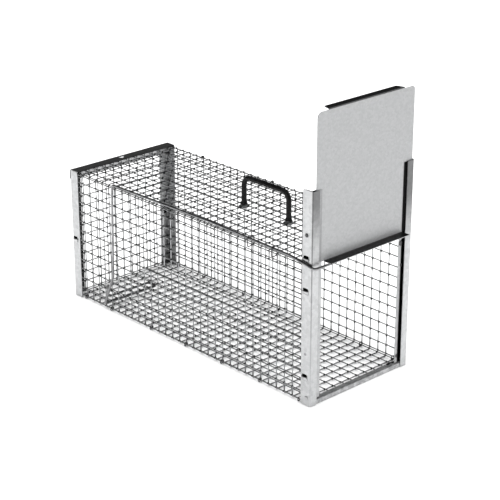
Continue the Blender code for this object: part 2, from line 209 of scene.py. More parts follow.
def warped(nodes, place, scale, amount):
    """The place pushed about by noise, so that crystals get ragged, feathered edges."""
    noise = nodes.noise(place, scale, 4.0, 0.65)
    centred = nodes.add("ShaderNodeVectorMath", operation="SUBTRACT")
    nodes.link(noise.outputs["Color"], centred.inputs[0])
    centred.inputs[1].default_value = (0.5, 0.5, 0.5)
    pushed = nodes.add("ShaderNodeVectorMath", operation="MULTIPLY_ADD")
    nodes.link(centred.outputs[0], pushed.inputs[0])
    pushed.inputs[1].default_value = (amount, amount, amount)
    nodes.link(place, pushed.inputs[2])
    return pushed.outputs[0]


def slot_shade(nodes, place, inner, top):
    """How dark a guide is inside its slot: a band on each side of the doorway, below a height.

    Only faces that look out of the doorway, marked "facing", take it.
    """
    apart = nodes.add("ShaderNodeSeparateXYZ")
    nodes.link(place, apart.inputs[0])
    across, _, up = apart.outputs
    soft = 0.0006
    right, left = CENTRE.x + inner, CENTRE.x - inner
    on_right = nodes.span(across, 0, 1, right - soft, right + soft)
    on_left = nodes.span(across, 1, 0, left - soft, left + soft)
    below = nodes.span(up, 1, 0, top - 0.004, top + 0.002)
    facing = nodes.add("ShaderNodeAttribute", attribute_name="facing")
    bands = nodes.math("MULTIPLY", nodes.math("ADD", on_right, on_left), below)
    return nodes.math("MULTIPLY", bands, facing.outputs["Fac"])


def galvanised(name, dark, light, crystal, rough, streaks=0.0, slots=None, metal=1.0):
    """Hot-dip zinc: crystals of uneven brightness and gloss, a finer grain and a little staining.

    The attribute "shade" holds painted shade for folds and shadowed faces. "front" holds painted shade on
    the upper part of a face that looks out of the doorway, and its value moves the height where that
    starts.
    """
    nodes = Nodes(name)
    place = nodes.place()
    ragged = warped(nodes, place, 3.2 / crystal, crystal * 0.55)
    large = nodes.cells(ragged, 1 / crystal)
    small = nodes.cells(ragged, 2.7 / crystal)
    apart = nodes.add("ShaderNodeSeparateColor")
    nodes.link(large.outputs["Color"], apart.inputs[0])
    grain = nodes.noise(place, 900, 4.0, 0.6)
    stain = nodes.noise(place, 22, 4.0, 0.6)
    tone = nodes.math("MULTIPLY", apart.outputs[0], 0.55)
    fine = nodes.add("ShaderNodeSeparateColor")
    nodes.link(small.outputs["Color"], fine.inputs[0])
    tone = nodes.math("ADD", tone, nodes.math("MULTIPLY", fine.outputs[0], 0.25))
    tone = nodes.math("ADD", tone, nodes.math("MULTIPLY", stain.outputs["Fac"], 0.2))
    if streaks:
        stretched = nodes.add("ShaderNodeMapping", Scale=(260, 260, 7))
        nodes.link(place, stretched.inputs["Vector"])
        drawn = nodes.noise(stretched.outputs[0], 1, 3.0, 0.6)
        tone = nodes.math("ADD", tone, nodes.math("MULTIPLY", drawn.outputs["Fac"], streaks))
    up = nodes.add("ShaderNodeSeparateXYZ")
    nodes.link(place, up.inputs[0])
    # painted shade: the upper part of a face that looks out of the doorway is darkened, from a height that
    # "front" moves
    front = nodes.add("ShaderNodeAttribute", attribute_name="front")
    fold = nodes.add("ShaderNodeAttribute", attribute_name="shade")
    high = nodes.span(nodes.math("ADD", up.outputs[2], front.outputs["Fac"]), 0, 0.66, 0.225, 0.315)
    shade = nodes.math("MAXIMUM", fold.outputs["Fac"], high)
    if slots:
        shade = nodes.math("MAXIMUM", shade, slot_shade(nodes, place, *slots))
    colour = nodes.mix(shade, nodes.mix(tone, dark, light), (0.003, 0.003, 0.003))
    nodes.link(colour, nodes.shader.inputs["Base Color"])
    stained = nodes.span(stain.outputs["Fac"], 0, 0.4)
    gloss = nodes.math("ADD", nodes.math("MULTIPLY", apart.outputs[1], 0.6), stained)
    nodes.link(nodes.span(gloss, rough - 0.08, rough + 0.12), nodes.shader.inputs["Roughness"])
    nodes.shader.inputs["Metallic"].default_value = metal
    nodes.bump(nodes.math("ADD", large.outputs["Distance"], grain.outputs["Fac"]), 0.12, 0.0004)
    return nodes.material


def zinc_wire(name, tone, weld_tone, rough):
    """Galvanised wire: drawn, slightly lumpy zinc that is darker where two wires are welded."""
    nodes = Nodes(name)
    place = nodes.place()
    lumps = nodes.noise(place, 420, 4.0, 0.6)
    patches = nodes.noise(place, 60, 3.0, 0.6)
    weld = nodes.add("ShaderNodeAttribute", attribute_name="weld")
    low = tuple(c * 0.72 for c in tone)
    high = tuple(min(1.0, c * 1.25) for c in tone)
    plain = nodes.mix(nodes.span(patches.outputs["Fac"], 0, 1, 0.3, 0.7), low, high)
    lumpy = nodes.span(lumps.outputs["Fac"], 0.55, 1.0, 0.3, 0.7)
    joined = nodes.math("MULTIPLY", weld.outputs["Fac"], lumpy)
    nodes.link(nodes.mix(joined, plain, weld_tone), nodes.shader.inputs["Base Color"])
    uneven = nodes.span(lumps.outputs["Fac"], -0.06, 0.08)
    dull = nodes.math("ADD", uneven, nodes.math("MULTIPLY", joined, 0.25))
    nodes.link(nodes.math("ADD", dull, rough), nodes.shader.inputs["Roughness"])
    nodes.shader.inputs["Metallic"].default_value = 1.0
    nodes.bump(lumps.outputs["Fac"], 0.25, 0.0003)
    return nodes.material


def black_enamel(name):
    """Glossy black coating with a faint orange peel and a few dull handled patches."""
    nodes = Nodes(name)
    place = nodes.place()
    peel = nodes.noise(place, 650, 2.0, 0.5)
    handled = nodes.noise(place, 70, 4.0, 0.6)
    patches = nodes.span(handled.outputs["Fac"], 0, 1, 0.45, 0.7)
    colour = nodes.mix(patches, (0.003, 0.003, 0.003), (0.008, 0.008, 0.009))
    nodes.link(colour, nodes.shader.inputs["Base Color"])
    nodes.link(nodes.span(patches, 0.26, 0.4), nodes.shader.inputs["Roughness"])
    nodes.shader.inputs["IOR"].default_value = 1.3
    nodes.bump(peel.outputs["Fac"], 0.1, 0.0002)
    return nodes.material


def pale_floor(name):
    nodes = Nodes(name)
    mottle = nodes.noise(nodes.place(), 3, 3.0, 0.5)
    colour = nodes.mix(mottle.outputs["Fac"], (0.86, 0.86, 0.86), (0.9, 0.9, 0.9))
    nodes.link(colour, nodes.shader.inputs["Base Color"])
    nodes.shader.inputs["Roughness"].default_value = 0.8
    return nodes.material


SHEET_ZINC = galvanised("sheet_zinc", (0.41, 0.415, 0.42), (0.55, 0.555, 0.56), 0.0058, 0.36)
DULL_ZINC = galvanised("dull_zinc", (0.33, 0.33, 0.333), (0.70, 0.705, 0.71), 0.0062, 0.36, metal=0.85)
SILL_ZINC = galvanised("sill_zinc", (0.24, 0.244, 0.248), (0.6, 0.605, 0.61), 0.0062, 0.4, metal=0.84)
GUIDE_ZINC = galvanised(
    "guide_zinc", (0.34, 0.345, 0.35), (0.46, 0.465, 0.47), 0.0058, 0.36,
    slots=(SLOT_SHADE, POST_TOP + 0.01),
)
DOOR_ZINC = galvanised(
    "door_zinc", (0.34, 0.345, 0.35), (0.43, 0.435, 0.44), 0.0034, 0.42, streaks=0.12, metal=0.25
)
# Painted shadow: the mid-grey tone of the strip of shade beside the left post's flange.
SLOT_SHADOW_ZINC = galvanised("slot_shadow_zinc", (0.25, 0.253, 0.257), (0.32, 0.323, 0.327), 0.0034, 0.42, metal=0.25)
MESH_ZINC = zinc_wire("mesh_zinc", (0.37, 0.375, 0.38), (0.015, 0.015, 0.015), 0.34)
ROD_ZINC = zinc_wire("rod_zinc", (0.26, 0.26, 0.265), (0.22, 0.22, 0.22), 0.3)
SMALL_ZINC = zinc_wire("small_zinc", (0.4, 0.405, 0.41), (0.3, 0.3, 0.3), 0.3)
RING_ZINC = zinc_wire("ring_zinc", (0.09, 0.09, 0.092), (0.09, 0.09, 0.09), 0.35)
# Painted light: the bright tone of the plate that fills the top bar's hole from beneath.
PAINTED_HOLE_LIGHT = galvanised("painted_hole_light", (0.75, 0.755, 0.76), (0.85, 0.855, 0.86), 0.003, 0.5, metal=0)
# Painted shadow: a near-black stand-in for the shade inside slots, holes and beside the right door slot.
PAINTED_SHADOW = zinc_wire("painted_shadow", (0.004, 0.004, 0.004), (0.004, 0.004, 0.004), 0.6)
BLACK = black_enamel("black_enamel")


# ---------------------------------------------------------------- pieces in general


def finish_piece(obj, material, body, nodes=()):
    obj.data.materials.clear()
    obj.data.materials.append(material)
    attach(obj, body)
    if nodes:
        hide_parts(*nodes)


def object_from(name, work, sharp=35):
    """A mesh object from a bmesh, with outward faces and smooth shading on its round parts."""
    bmesh.ops.recalc_face_normals(work, faces=work.faces)
    if work.calc_volume(signed=True) < 0:
        bmesh.ops.reverse_faces(work, faces=work.faces)
    mesh = bpy.data.meshes.new(name)
    work.to_mesh(mesh)
    work.free()
    mesh.shade_smooth()
    mesh.set_sharp_from_angle(angle=math.radians(sharp))
    obj = bpy.data.objects.new(name, mesh)
    bpy.context.scene.collection.objects.link(obj)
    return obj


def soften_edges(obj, width=0.0002):
    bevel = obj.modifiers.new("Bevel", "BEVEL")
    bevel.width = width
    bevel.segments = 2
    bevel.limit_method = "ANGLE"
    bevel.angle_limit = math.radians(50)
    bevel.harden_normals = True


def ring_of(work, centre, first, second, radius, sides):
    return [
        work.verts.new(centre + (first * math.cos(a) + second * math.sin(a)) * radius)
        for a in (math.tau * i / sides for i in range(sides))
    ]


def skin(work, rings):
    """Join rings of points into a tube that is capped at its ends."""
    sides = len(rings[0])
    for near, far in zip(rings, rings[1:]):
        for i in range(sides):
            j = (i + 1) % sides
            work.faces.new((near[i], near[j], far[j], far[i]))
    work.faces.new(rings[0][::-1])
    work.faces.new(rings[-1])


def tube(work, points, radii, sides):
    """A round bar along a path, its rings carried along without twist."""
    points = [Vector(p) for p in points]
    rings = []
    first = None
    for i, point in enumerate(points):
        ahead = points[min(i + 1, len(points) - 1)] - points[max(i - 1, 0)]
        ahead.normalize()
        if first is None:
            first = ahead.orthogonal().normalized()
        first = (first - ahead * first.dot(ahead)).normalized()
        radius = radii[i] if isinstance(radii, list) else radii
        rings.append(ring_of(work, point, first, ahead.cross(first), radius, sides))
    skin(work, rings)


def turned(name, profile, centre, axis, sides=32):
    """A solid of revolution: (radius, height) pairs from the bottom of the axis to its top."""
    axis = Vector(axis)
    first = axis.orthogonal().normalized()
    work = bmesh.new()
    rings = [
        ring_of(work, Vector(centre) + axis * height, first, axis.cross(first), radius, sides)
        for radius, height in profile
    ]
    skin(work, rings)
    return object_from(name, work)


def arc_points(centre, start, end, steps):
    centre = Vector(centre)
    spoke = Vector(start) - centre
    turn = spoke.rotation_difference(Vector(end) - centre)
    angles = (turn.angle * i / steps for i in range(steps + 1))
    return [centre + Matrix.Rotation(angle, 3, turn.axis) @ spoke for angle in angles]


def rounded_path(corners, radii, steps=8, closed=False):
    """A path through the corners with each one turned on its own radius."""
    corners = [Vector(c) for c in corners]
    if isinstance(radii, (int, float)):
        radii = [radii] * len(corners)
    points = []
    last = len(corners) - 1
    for i, corner in enumerate(corners):
        if radii[i] <= 0 or (not closed and i in (0, last)):
            points.append(corner)
            continue
        into = (corners[i - 1] - corner).normalized()
        out = (corners[(i + 1) % len(corners)] - corner).normalized()
        half_angle = into.angle(out) / 2
        reach = radii[i] / math.tan(half_angle)
        centre = corner + (into + out).normalized() * (radii[i] / math.sin(half_angle))
        points += arc_points(centre, corner + into * reach, corner + out * reach, steps)
    return points


# ---------------------------------------------------------------- folded sheet


def flat_loop(corners, radii):
    return [(p.x, p.y) for p in rounded_path([(*c, 0) for c in corners], radii, steps=6, closed=True)]


def round_hole(u, v, radius, sides=28):
    angles = (math.tau * i / sides for i in range(sides))
    return [(u + radius * math.cos(a), v + radius * math.sin(a)) for a in angles]


def slot_hole(u, v, length, height):
    """A slot along u with round ends."""
    half, end = length / 2, height / 2
    corners = [(u - half, v - end), (u + half, v - end), (u + half, v + end), (u - half, v + end)]
    return flat_loop(corners, end * 0.96)


def folded_place(u, bends):
    """Where a point at u on the flat sheet's middle lands, and its heading, once each bend is made."""
    a = b = heading = done = 0.0
    for middle, angle in bends:
        start = middle - BEND_RADIUS * abs(angle) / 2
        if u <= start:
            break
        a += (start - done) * math.cos(heading)
        b += (start - done) * math.sin(heading)
        way = math.copysign(1, angle)
        turn = way * min((u - start) / BEND_RADIUS, abs(angle))
        a += way * BEND_RADIUS * (math.sin(heading + turn) - math.sin(heading))
        b += way * BEND_RADIUS * (math.cos(heading) - math.cos(heading + turn))
        heading += turn
        done = min(u, start + BEND_RADIUS * abs(angle))
    return a + (u - done) * math.cos(heading), b + (u - done) * math.sin(heading), heading


def fold_sheet(name, loops, thickness, bends, origin, ahead, left, across):
    """Cut a blank from flat sheet and fold it.

    The loops are (u, v): u runs along ahead and turns at each bend (middle, angle), to the left if the
    angle is positive, and v runs along across. The origin is where u = v = 0 lies, mid thickness.
    """
    curve = bpy.data.curves.new(name, "CURVE")
    curve.dimensions = "2D"
    curve.fill_mode = "BOTH"
    curve.extrude = thickness / 2
    for loop in loops:
        spline = curve.splines.new("POLY")
        spline.points.add(len(loop) - 1)
        for point, (u, v) in zip(spline.points, loop):
            point.co = (u, v, 0, 1)
        spline.use_cyclic_u = True
    blank = bpy.data.objects.new(name + "_blank", curve)
    bpy.context.scene.collection.objects.link(blank)
    bpy.context.view_layer.update()
    mesh = bpy.data.meshes.new_from_object(blank.evaluated_get(bpy.context.evaluated_depsgraph_get()))
    bpy.data.objects.remove(blank)
    work = bmesh.new()
    work.from_mesh(mesh)
    bpy.data.meshes.remove(mesh)
    bmesh.ops.remove_doubles(work, verts=work.verts, dist=0.000002)
    bmesh.ops.dissolve_limit(work, angle_limit=0.01, verts=work.verts, edges=work.edges)
    for middle, angle in bends:
        length = BEND_RADIUS * abs(angle)
        for i in range(BEND_STEPS + 1):
            line = (middle + length * (i / BEND_STEPS - 0.5), 0, 0)
            everything = work.verts[:] + work.edges[:] + work.faces[:]
            bmesh.ops.bisect_plane(work, geom=everything, dist=0.0000005, plane_co=line, plane_no=(1, 0, 0))
    for vert in work.verts:
        u, v, w = vert.co
        a, b, heading = folded_place(u, bends)
        a -= math.sin(heading) * w
        b += math.cos(heading) * w
        vert.co = origin + ahead * a + left * b + across * v
    obj = object_from(name, work, sharp=40)
    soften_edges(obj)
    return obj


def shade_folds(obj, depth, front=None, dark=(), low=None):
    """Mark the painted shade for the zinc: the faces of each fold, those that lie in shadow and those that
    look to -Y.

    Each dark entry is a direction that shadowed faces look in, and how dark they are. Where low is given,
    a fold fades to it at its lower end.
    """
    obj.data.attributes.new("shade", "FLOAT", "CORNER")
    for name in ("front", "facing"):
        obj.data.attributes.new(name, "FLOAT", "FACE")
    fold, painted_top_shade, facing = (obj.data.attributes[name] for name in ("shade", "front", "facing"))
    for face in obj.data.polygons:
        slanted = max(abs(c) for c in face.normal) < FACING
        value = depth if slanted else 0.0
        for direction, amount in dark:
            if face.normal.dot(direction) > FACING:
                value = amount
        for corner in face.loop_indices:
            height = obj.data.vertices[obj.data.loops[corner].vertex_index].co.z
            faded = low is not None and slanted and height < TOP / 2
            fold.data[corner].value = low if faded else value
        # painted shade: faces that look out of the doorway take a darker upper part and the slot's painted
        # shade
        forward = face.normal.y < -FACING
        painted_top_shade.data[face.index].value = front if forward and front is not None else -1.0
        facing.data[face.index].value = 1.0 if forward else 0.0


def angle_lengths(first, second):
    """The flat blank of an angle: where its one bend's middle lies and its whole width."""
    start = first - SHEET / 2 - BEND_RADIUS
    middle = start + BEND_RADIUS * QUARTER / 2
    return middle, start + BEND_RADIUS * QUARTER + second - SHEET / 2 - BEND_RADIUS


def post(node, side, end, holes):
    """A corner post: an angle whose outer corner is the cage's own corner."""
    low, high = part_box(node)
    tall = high.z - low.z
    first = FRONT_FLANGE if end < 0 else FLANGE
    middle, width = angle_lengths(first, FLANGE)
    edge = flat_loop([(0, 0), (width, 0), (width, tall), (0, tall)], [0.004, 0.004, 0.0015, 0.0015])
    origin = at(side * (HALF_W - first), end * (HALF_L - SHEET / 2), low.z)
    obj = fold_sheet(
        f"{node}_sheet", [edge] + holes(width), SHEET, [(middle, -QUARTER)], origin, X * side, Y * end, Z
    )
    # Painted shade: upward faces are dark, and so are the back left post's faces that look to -Y. On the
    # front posts the upper part of the front faces is darker too, starting 35 mm higher on the left post,
    # and each fold fades to 0.08 at its lower end.
    dark = [(Z, 0.95)]
    if node == "back_left_post":
        dark.append((-Y, 0.85))
    if end < 0:
        shade_folds(obj, 0.75, 0.0 if side > 0 else -0.035, dark, low=0.08)
    else:
        shade_folds(obj, 0.6, None, dark)
    zinc = DULL_ZINC if node == "back_right_post" else SHEET_ZINC
    finish_piece(obj, zinc, "cage", [node])


def louvre(name, centre, outward, along):
    """A hood pressed out of the sheet below a slot, open at its upper edge."""
    length, drop, depth = SLOT_HOOD
    across, down = 14, 8
    work = bmesh.new()
    rows = []
    for j in range(down + 1):
        fall = j / down
        row = []
        for i in range(across + 1):
            s = 2 * i / across - 1
            bulge = math.sqrt(max(0.0, 1 - s * s)) * math.cos(fall * QUARTER) ** 0.8
            rise = outward * (bulge * depth + 0.0001)
            row.append(work.verts.new(centre + along * (s * length / 2) - Z * (fall * drop) + rise))
        rows.append(row)
    for upper, lower in zip(rows, rows[1:]):
        for i in range(across):
            work.faces.new((upper[i], upper[i + 1], lower[i + 1], lower[i]))
    obj = object_from(name, work, sharp=60)
    shell = obj.modifiers.new("Solidify", "SOLIDIFY")
    shell.thickness = 0.0008
    shell.offset = 0
    finish_piece(obj, SHEET_ZINC, "cage")


def slot_pocket(name, centre, outward, along):
    """Painted shadow: the dark upper half of a lanced slot, pressed inward behind its arched opening."""
    half, rise, deep = SLOT_PLATE
    work = bmesh.new()
    arch = [(half * math.cos(a), rise * math.sin(a)) for a in (math.pi * i / 16 for i in range(17))]
    rings = []
    for face in (centre, centre - outward * deep):
        rings.append([work.verts.new(face + along * u + Z * v) for u, v in arch])
    skin(work, rings)
    finish_piece(object_from(name, work), PAINTED_SHADOW, "cage")


def front_holes(width):
    """The slots of a front post, on its flat blank."""
    return [slot_hole(width - (FLANGE - FRONT_SLOT_Y), z, *SLOT_SIZE) for z in FRONT_SLOT_HEIGHTS]


def back_holes(width):
    """The slot and the hole of a back post, on its flat blank."""
    slot = slot_hole(width - (FLANGE - BACK_SLOT_Y), BACK_SLOT_Z, *SLOT_SIZE)
    return [slot, round_hole(FLANGE - BACK_HOLE_X, BACK_HOLE_Z, BACK_HOLE_RADIUS)]


def build_posts():
    for side, word in ((-1, "left"), (1, "right")):
        post(f"front_{word}_post", side, -1, front_holes)
        post(f"back_{word}_post", side, 1, back_holes)
        y = -HALF_L + FRONT_SLOT_Y
        slots = [(f"front_{word}_{number}", y, z) for number, z in enumerate(FRONT_SLOT_HEIGHTS, 1)]
        slots.append((f"back_{word}", HALF_L - BACK_SLOT_Y, BACK_SLOT_Z))
        for name, y, z in slots:
            louvre(f"{name}_louvre", at(side * (HALF_W + 0.0001), y, z - 0.0021), X * side, Y)
            slot_pocket(f"{name}_pocket", at(side * (HALF_W - 0.0007), y, z - 0.0026), X * side, Y)


def build_hole_shadow():
    """Painted shadow: a dark disc fills the back right post's hole, so that it looks into the dark."""
    place = at(HALF_W - BACK_HOLE_X, HALF_L - SHEET / 2, BACK_HOLE_Z)
    radius = BACK_HOLE_RADIUS - 0.0001
    profile = [(0.001, -0.0002), (radius, -0.0002), (radius, 0.0002), (0.001, 0.0002)]
    disc = turned("back_right_hole_shadow", profile, place, Y)
    finish_piece(disc, PAINTED_SHADOW, "cage")


def build_guides():
    """Inner angles behind the front flanges; the door runs in the slot between them."""
    for side, word in ((-1, "left"), (1, "right")):
        node = f"{word}_door_guide"
        low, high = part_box(node)
        first, second = high.x - low.x, high.y - low.y
        tall = high.z - low.z
        middle, width = angle_lengths(first, second)
        edge = flat_loop([(0, 0), (width, 0), (width, tall), (0, tall)], [0.001, 0.001, 0.001, 0.005])
        start = high.x if side < 0 else low.x
        origin = Vector((start, low.y + SHEET / 2, low.z))
        obj = fold_sheet(f"{node}_sheet", [edge], SHEET, [(middle, -QUARTER)], origin, X * side, -Y, Z)
        shade_folds(obj, 0.3, dark=[(Z, 0.95)])
        finish_piece(obj, GUIDE_ZINC, "cage", [node])


def build_slot_shadow_strips():
    """Painted shadow at the edge of each door slot: a thin dark strip between the flange and the raised
    door.
    """
    outer = HALF_W - FRONT_FLANGE + 0.001
    behind = FRONT + SHEET + 0.0003
    low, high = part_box("door_panel")[0].z + DOOR_SHEET + 0.0012, POST_TOP - 0.0006
    # Both strips are painted shadow: mid-grey on the left, near-black on the right.
    for word, side, inner, zinc in (("left", -1, 0.0955, SLOT_SHADOW_ZINC), ("right", 1, 0.0948, PAINTED_SHADOW)):
        work = bmesh.new()
        rings = []
        for y in (behind, behind + 0.0003):
            places = ((inner, low), (outer, low), (outer, high), (inner, high))
            rings.append([work.verts.new((CENTRE.x + side * x, y, z)) for x, z in places])
        skin(work, rings)
        obj = object_from(f"{word}_slot_shadow_strip", work)
        shade_folds(obj, 0)
        finish_piece(obj, zinc, "cage")


def build_sill():
    low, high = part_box("front_sill")
    long = high.x - low.x
    middle, width = angle_lengths(high.z - low.z, high.y - low.y)
    edge = flat_loop([(0, 0), (width, 0), (width, long), (0, long)], [0.001, 0.004, 0.004, 0.001])
    origin = Vector((low.x, low.y + SHEET / 2, low.z))
    obj = fold_sheet("front_sill_sheet", [edge], SHEET, [(middle, -QUARTER)], origin, Z, -Y, X)
    shade_folds(obj, 0.1)
    finish_piece(obj, SILL_ZINC, "cage", ["front_sill"])


def build_top_bar():
    low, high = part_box("back_top_bar")
    long = high.x - low.x
    middle, width = angle_lengths(high.y - low.y, high.z - low.z)
    edge = flat_loop([(0, 0), (width, 0), (width, long), (0, long)], [0.002, 0.002, 0.002, 0.002])
    hole_y = HALF_L - BAR_HOLE_Y
    hole = round_hole(hole_y - (low.y - CENTRE.y), long / 2 + BAR_HOLE_X, BAR_HOLE_RADIUS)
    origin = Vector((low.x, low.y, high.z - SHEET / 2))
    obj = fold_sheet("back_top_bar_sheet", [edge, hole], SHEET, [(middle, -QUARTER)], origin, Y, Z, X)
    shade_folds(obj, 0.3)
    shade = obj.data.attributes["shade"]
    for face in obj.data.polygons:
        if face.normal.y < -FACING and face.center.y < low.y + SHEET:
            for corner in face.loop_indices:
                shade.data[corner].value = 0.97
    finish_piece(obj, SHEET_ZINC, "cage", ["back_top_bar"])
    # Painted light: a bright plate under the hole, as if the lit floor were seen through it.
    under = high.z - SHEET - 0.0003
    radius = BAR_HOLE_RADIUS + 0.001
    profile = [(0.001, -0.0006), (radius, -0.0006), (radius, 0), (0.001, 0)]
    hole_light = turned("top_bar_hole_light_plate", profile, at(BAR_HOLE_X, hole_y, under), Z)
    finish_piece(hole_light, PAINTED_HOLE_LIGHT, "cage")


def build_door():
    """One sheet: bottom lip folded forward, flat panel, top lip folded backward."""
    low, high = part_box("door_panel")
    half = (high.x - low.x) / 2
    panel_y = CENTRE.y - HALF_L + DOOR_Y
    start = panel_y - low.y - BEND_RADIUS
    bend = BEND_RADIUS * QUARTER
    rise = high.z - low.z - DOOR_SHEET - 2 * BEND_RADIUS
    back = high.y - panel_y - BEND_RADIUS
    panel_low, panel_high = start + bend, start + bend + rise
    end = panel_high + bend + back
    above = panel_low + LIP_NOTCH
    right_half = [
        (0, LIP_HALF), (above, LIP_HALF), (above, half), (panel_high, half),
        (panel_high, TOP_LIP_HALF), (end, TOP_LIP_TIP),
    ]
    corners = [(u, -v) for u, v in right_half] + right_half[::-1]
    turns = [[0.002, 0.0008, 0.002, corner, 0.0008, 0.003] for corner in DOOR_CORNERS]
    radii = turns[0] + turns[1][::-1]
    bends = [(start + bend / 2, QUARTER), (panel_high + bend / 2, -QUARTER)]
    origin = Vector(((low.x + high.x) / 2, low.y, low.z + DOOR_SHEET / 2))
    loop = flat_loop(corners, radii)
    obj = fold_sheet("door_sheet", [loop], DOOR_SHEET, bends, origin, Y, Z, X)
    shade_folds(obj, 0.8, dark=[(Z, 1.0)])
    finish_piece(obj, DOOR_ZINC, "door", ["door_panel"])


# ---------------------------------------------------------------- wire


def mesh_lines(low, high, pitch, phase):
    """The wires of a panel across one direction: one at each edge and the rest on the pitch."""
    first = math.ceil((low + pitch * 0.22 - phase) / pitch)
    lines = [low]
    line = phase + first * pitch
    while line < high - pitch * 0.22:
        lines.append(line)
        line += pitch
    return lines + [high]


def straight_wire(work, weld, start, end, crossings, draw):
    """A wire that wanders slightly and swells with zinc where it crosses others."""
    along = (end - start).normalized()
    first = along.orthogonal().normalized()
    second = along.cross(first)
    length = (end - start).length
    stops = [(0.0, 0.86, 0.0), (0.0005, 1.0, 0.0)]
    for place in crossings:
        if 0.003 < place < length - 0.003:
            stops += [(place - 0.0025, 1.0, 0.0), (place - 0.0015, 1.2, 0.95), (place, 1.5, 1.0)]
            stops += [(place + 0.0015, 1.2, 0.95), (place + 0.0025, 1.0, 0.0)]
        elif place <= 0.003:
            stops.append((max(place, STUB), 1.12, 1.0))
        else:
            stops.append((min(place, length - STUB), 1.12, 1.0))
    stops += [(length - 0.0005, 1.0, 0.0), (length, 0.86, 0.0)]
    stops.sort()
    sway, lift = draw.uniform(-1, 1), draw.uniform(-1, 1)
    rate, start_angle = draw.uniform(9, 16), draw.uniform(0, math.tau)
    rings = []
    for place, swell, joined in stops:
        wave = math.sin(start_angle + place * rate)
        offset = first * (wave * sway * 0.00028) + second * (wave * lift * 0.0001)
        ring = ring_of(work, start + along * place + offset, first, second, WIRE_RADIUS * swell, 8)
        for vert in ring:
            vert[weld] = joined
        rings.append(ring)
    skin(work, rings)


def wire_panel(node, normal, u_axis, u_lines, v_axis, v_lines, outer_first, seed):
    """A panel of welded mesh: wires along u lie to one side of its middle, wires along v to the other."""
    draw = random.Random(seed)
    low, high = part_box(node)
    middle = normal * ((low + high) / 2).dot(normal)
    apart = normal * (WIRE_RADIUS * 0.86) * (1 if outer_first else -1)
    work = bmesh.new()
    weld = work.verts.layers.float.new("weld")
    for v in v_lines:
        start = middle + v_axis * v + u_axis * (u_lines[0] - STUB) + apart
        end = middle + v_axis * v + u_axis * (u_lines[-1] + STUB) + apart
        straight_wire(work, weld, start, end, [u - u_lines[0] + STUB for u in u_lines], draw)
    for u in u_lines:
        start = middle + u_axis * u + v_axis * (v_lines[0] - STUB) - apart
        end = middle + u_axis * u + v_axis * (v_lines[-1] + STUB) - apart
        straight_wire(work, weld, start, end, [v - v_lines[0] + STUB for v in v_lines], draw)
    obj = object_from(f"{node}_wires", work, sharp=60)
    finish_piece(obj, MESH_ZINC, "cage", [node])


def edge_lines(node):
    """The middle lines of a grid's outermost bars, as (lowest corner, highest corner)."""
    low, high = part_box(node)
    half_bar = Vector((1, 1, 1)) * (min(high - low) / 2)
    return low + half_bar, high - half_bar


def build_mesh():
    column = CENTRE.y + MESH_PHASE
    row = edge_lines("floor_mesh")[0].z
    for seed, node in enumerate(("floor_mesh", "top_mesh"), 1):
        low, high = edge_lines(node)
        across = mesh_lines(low.x, high.x, MESH_PITCH, CENTRE.x)
        along = mesh_lines(low.y, high.y, MESH_PITCH, column)
        wire_panel(node, Z, Y, along, X, across, node == "floor_mesh", seed)
    for seed, side in enumerate(("left", "right"), 3):
        low, high = edge_lines(f"{side}_side_mesh")
        along = mesh_lines(low.y, high.y, MESH_PITCH, column)
        up = mesh_lines(low.z, high.z, MESH_PITCH, row)
        wire_panel(f"{side}_side_mesh", X, Y, along, Z, up, side == "right", seed)
    low, high = edge_lines("back_mesh")
    across = mesh_lines(low.x, high.x, MESH_PITCH, CENTRE.x)
    up = mesh_lines(low.z, high.z, MESH_PITCH, row)
    wire_panel("back_mesh", Y, X, across, Z, up, True, 5)


def hog_ring(node, spread, squareness=2.6):
    """A wire ring bent round the edges that it holds, with its two ends lapped side by side."""
    low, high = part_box(node)
    middle = (low + high) / 2
    half_x, half_z = (high.x - low.x) / 2 - RING_WIRE, (high.z - low.z) / 2 - RING_WIRE
    steps = 44
    points = []
    for i in range(steps + 1):
        turn = i / steps
        angle = math.radians(-60) + turn * math.radians(392)
        c, s = math.cos(angle), math.sin(angle)
        squared = (abs(c) ** squareness + abs(s) ** squareness) ** (-1 / squareness)
        points.append(middle + Vector((half_x * squared * c, (turn - 0.5) * spread, half_z * squared * s)))
    radii = [RING_WIRE * (0.55 if i in (0, steps) else 1.0) for i in range(steps + 1)]
    work = bmesh.new()
    tube(work, points, radii, 10)
    obj = object_from(f"{node}_wire", work, sharp=70)
    finish_piece(obj, RING_ZINC, "cage", [node])


def build_rings():
    for side in ("left", "right"):
        for number in range(1, 8):
            hog_ring(f"{side}_bottom_ring_{number}", RING_LAP)
    for number in range(1, 4):
        hog_ring(f"right_top_ring_{number}", RING_LAP)
    for number in (1, 2):
        hog_ring(f"rod_clip_{number}", CLIP_LAP, squareness=6)


